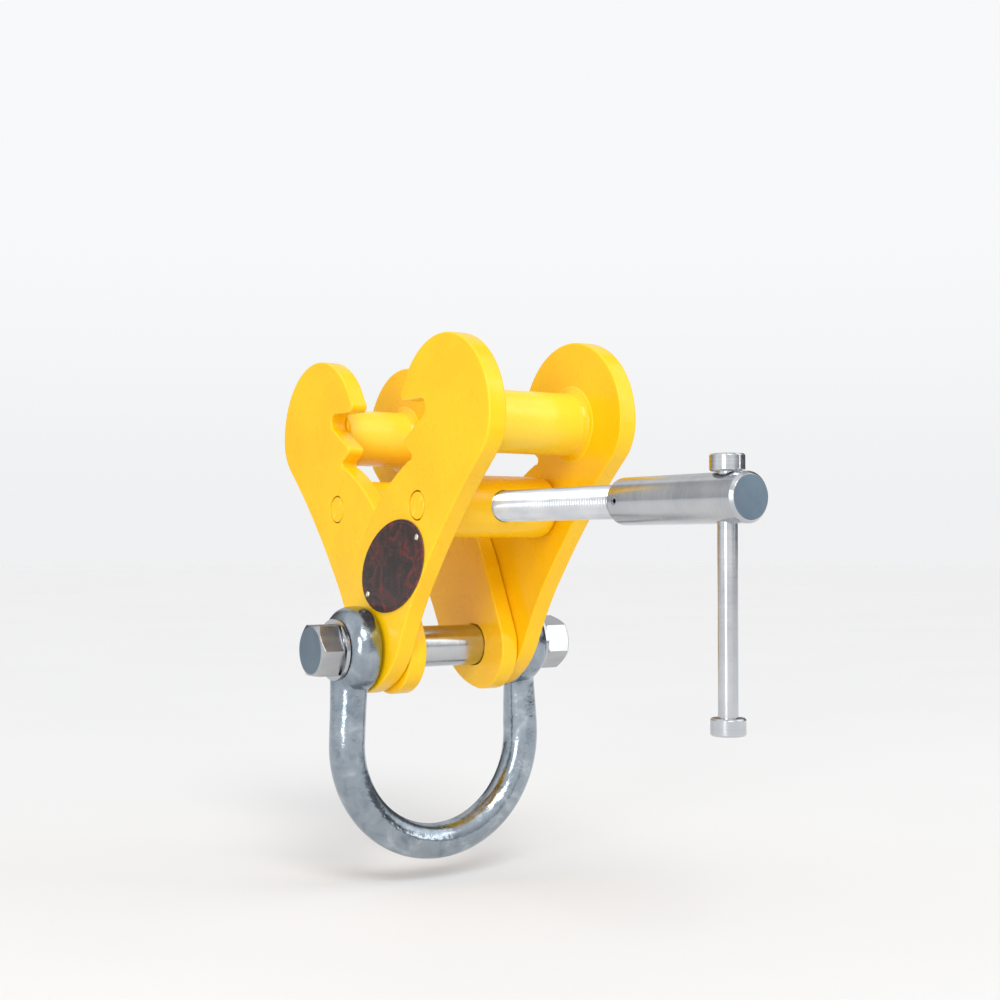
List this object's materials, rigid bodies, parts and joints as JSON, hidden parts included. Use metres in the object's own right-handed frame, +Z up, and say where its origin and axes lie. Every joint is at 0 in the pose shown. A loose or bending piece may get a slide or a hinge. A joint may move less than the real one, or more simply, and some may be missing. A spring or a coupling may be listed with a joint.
{
  "type": "beam clamp",
  "caption": "Screw-closed beam clamp: two hooked plate jaws on a pivot bolt, drawn together by a left-and-right-hand spindle with a sliding tommy bar, over a bow shackle.",
  "frame": {"origin": "midway between the two jaws, in the plane where the jaw lips bear on the flange's top face", "axes": "+X along the beam and the pivot bolt, towards the nut; +Y across the beam along the spindle, away from the tommy bar; +Z up, out of the shackle towards the beam"},
  "size_m": [0.1579, 0.3667, 0.2736],
  "materials": {
    "yellow_paint": "glossy enamel with a fine ripple",
    "zinc_steel": "bright zinc plate, turned",
    "galvanised": "mottled galvanised forging",
    "threaded_steel": "bright rolled thread",
    "spring_steel": "plain spring steel",
    "nameplate_dark": "dark satin lacquer on aluminium",
    "rivet_bright": "bright aluminium"
  },
  "bodies": {
    "pivot": {"pivot_bolt": "zinc_steel", "washer_head_side": "zinc_steel", "washer_nut_side": "zinc_steel", "pivot_nut": "zinc_steel"},
    "near_jaw": {"near_plate_left": "yellow_paint", "near_plate_right": "yellow_paint", "near_cross_tube": "yellow_paint", "near_tube_welds": "yellow_paint", "nameplate": "nameplate_dark", "nameplate_rivets": "rivet_bright"},
    "far_jaw": {"far_plate_left": "yellow_paint", "far_plate_right": "yellow_paint", "far_cross_tube": "yellow_paint", "far_tube_welds": "yellow_paint"},
    "near_swivel": {"near_trunnion": "yellow_paint"},
    "far_swivel": {"far_trunnion": "yellow_paint"},
    "spindle_feed": {"end_stop_washer": "zinc_steel"},
    "spindle": {"spindle_screw": "threaded_steel", "spindle_head": "zinc_steel", "head_roll_pin": "spring_steel", "stop_roll_pin": "spring_steel"},
    "tommy_bar": {"tommy_rod": "zinc_steel", "tommy_cap_upper": "zinc_steel", "tommy_cap_lower": "zinc_steel"},
    "shackle": {"shackle_bow": "galvanised"}
  },
  "joints": [
    {"name": "near_jaw_swing", "type": "hinge", "parent": "pivot", "child": "near_jaw", "pos_m": [0, 0, -0.128], "axis": [1, 0, 0], "range_deg": [-9.25, 27.75]},
    {"name": "far_jaw_swing", "type": "hinge", "parent": "pivot", "child": "far_jaw", "pos_m": [0, 0, -0.128], "axis": [-1, 0, 0], "range_deg": [-9.3, 27.8]},
    {"name": "near_trunnion_swivel", "type": "hinge", "parent": "near_jaw", "child": "near_swivel", "pos_m": [0, -0.052, -0.0536], "axis": [1, 0, 0], "range_deg": [-27.8, 9.3]},
    {"name": "far_trunnion_swivel", "type": "hinge", "parent": "far_jaw", "child": "far_swivel", "pos_m": [0, 0.052, -0.0536], "axis": [-1, 0, 0], "range_deg": [-27.8, 9.3]},
    {"name": "spindle_travel", "type": "slide", "parent": "near_swivel", "child": "spindle_feed", "axis": [0, 1, 0], "range_m": [-0.0101, 0.0301]},
    {"name": "spindle_turn", "type": "hinge", "parent": "spindle_feed", "child": "spindle", "pos_m": [0, 0, -0.0536], "axis": [0, -1, 0], "range_deg": [-1805, 5405]},
    {"name": "tommy_slide", "type": "slide", "parent": "spindle", "child": "tommy_bar", "axis": [0, 0, 1], "range_m": [0, 0.0816]},
    {"name": "shackle_swing", "type": "hinge", "parent": "pivot", "child": "shackle", "pos_m": [0, 0, -0.128], "axis": [1, 0, 0], "range_deg": [-80, 80]}
  ],
  "couplings": [
    {"joint": "far_jaw_swing", "follows": "near_jaw_swing", "ratio": 1},
    {"joint": "near_trunnion_swivel", "follows": "near_jaw_swing", "ratio": -1},
    {"joint": "far_trunnion_swivel", "follows": "near_jaw_swing", "ratio": -1},
    {"joint": "spindle_travel", "follows": "near_jaw_swing", "m_per_rad": 0.061941},
    {"joint": "spindle_turn", "follows": "near_jaw_swing", "ratio": 194.59}
  ]
}
